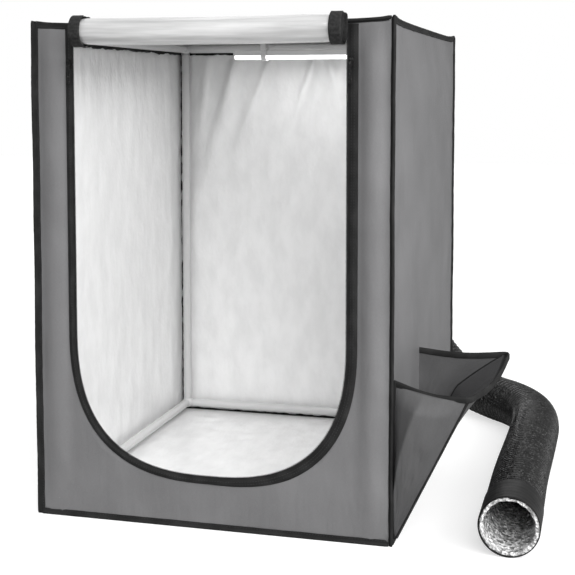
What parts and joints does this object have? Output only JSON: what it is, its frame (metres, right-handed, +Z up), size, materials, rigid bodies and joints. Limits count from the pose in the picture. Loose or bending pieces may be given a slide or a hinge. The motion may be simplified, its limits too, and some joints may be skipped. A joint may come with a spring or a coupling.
{
  "type": "3d printer enclosure tent",
  "caption": "Soft-sided box tent on a tube frame for enclosing a desktop 3-D printer, with a rolled-up front door, side tool pocket, light bar and flexible exhaust duct.",
  "frame": {"origin": "middle of the underside of the tent's floor panel, on the surface it stands on", "axes": "+Z up, +Y from the doorway to the back wall, +X to the right seen from the front, towards the tool pocket"},
  "size_m": [0.7636, 0.9658, 0.758],
  "materials": {
    "outer_cloth": "matt coated grey polyester weave",
    "liner_cloth": "silver-white coated liner, soft sheen",
    "binding_tape": "black woven binding tape, matt",
    "white_steel": "white powder coat, satin",
    "hub_plastic": "light grey moulded plastic",
    "black_zinc": "black enamelled zinc, satin",
    "bright_steel": "bright plated steel",
    "aluminium": "satin anodised",
    "diffuser": "milky white, lit",
    "duct_film": "glossy black crinkled film over a wire coil, foil inside",
    "cuff_cloth": "smooth black end cuff"
  },
  "bodies": {
    "tent": {"back_panel": "outer_cloth", "base_rail_back": "white_steel", "base_rail_front": "white_steel", "base_rail_left": "white_steel", "base_rail_right": "white_steel", "binding_back_left": "binding_tape", "binding_back_right": "binding_tape", "binding_base_back": "binding_tape", "binding_base_front": "binding_tape", "binding_base_left": "binding_tape", "binding_base_right": "binding_tape", "binding_front_left": "binding_tape", "binding_front_right": "binding_tape", "binding_top_back": "binding_tape", "binding_top_front": "binding_tape", "binding_top_left": "binding_tape", "binding_top_right": "binding_tape", "clamp_band": "bright_steel", "corner_base_back_left": "hub_plastic", "corner_base_back_right": "hub_plastic", "corner_base_front_left": "hub_plastic", "corner_base_front_right": "hub_plastic", "corner_top_back_left": "hub_plastic", "corner_top_back_right": "hub_plastic", "corner_top_front_left": "hub_plastic", "corner_top_front_right": "hub_plastic", "door_roll": "liner_cloth", "duct_cuff": "cuff_cloth", "exhaust_duct": "duct_film", "floor_panel": "outer_cloth", "front_panel": "outer_cloth", "left_panel": "outer_cloth", "light_diffuser": "diffuser", "light_strap_left": "binding_tape", "light_strap_right": "binding_tape", "light_tray": "aluminium", "pocket_pouch": "outer_cloth", "pocket_rim": "binding_tape", "post_back_left": "white_steel", "post_back_right": "white_steel", "post_front_left": "white_steel", "post_front_right": "white_steel", "right_panel": "outer_cloth", "roll_strap_left": "binding_tape", "roll_strap_right": "binding_tape", "top_panel": "outer_cloth", "top_rail_back": "white_steel", "top_rail_front": "white_steel", "top_rail_left": "white_steel", "top_rail_right": "white_steel", "vent_sleeve": "outer_cloth", "zip_tape": "binding_tape"},
    "left_slider": {"zip_slider_left": "black_zinc"},
    "left_pull": {"zip_pull_left": "black_zinc"},
    "right_slider": {"zip_slider_right": "black_zinc"},
    "right_pull": {"zip_pull_right": "black_zinc"},
    "screw": {"clamp_screw": "bright_steel"},
    "flap": {"cable_flap": "outer_cloth"}
  },
  "joints": [
    {"name": "left_slider_travel", "type": "slide", "parent": "tent", "child": "left_slider", "axis": [0, 0, -1], "range_m": [0, 0.39]},
    {"name": "left_pull_lift", "type": "hinge", "parent": "left_slider", "child": "left_pull", "pos_m": [-0.2135, -0.3323, 0.6933], "axis": [-1, 0, 0], "range_deg": [0, 100]},
    {"name": "right_slider_travel", "type": "slide", "parent": "tent", "child": "right_slider", "axis": [0, 0, -1], "range_m": [0, 0.39]},
    {"name": "right_pull_lift", "type": "hinge", "parent": "right_slider", "child": "right_pull", "pos_m": [0.2135, -0.3323, 0.6933], "axis": [-1, 0, 0], "range_deg": [0, 100]},
    {"name": "clamp_screw_turn", "type": "hinge", "parent": "tent", "child": "screw", "pos_m": [0.155, 0.367, 0.592], "axis": [1, 0, 0], "continuous": true},
    {"name": "cable_flap_lift", "type": "hinge", "parent": "tent", "child": "flap", "pos_m": [0.15, 0.326, 0.114], "axis": [1, 0, 0], "range_deg": [0, 120]}
  ]
}
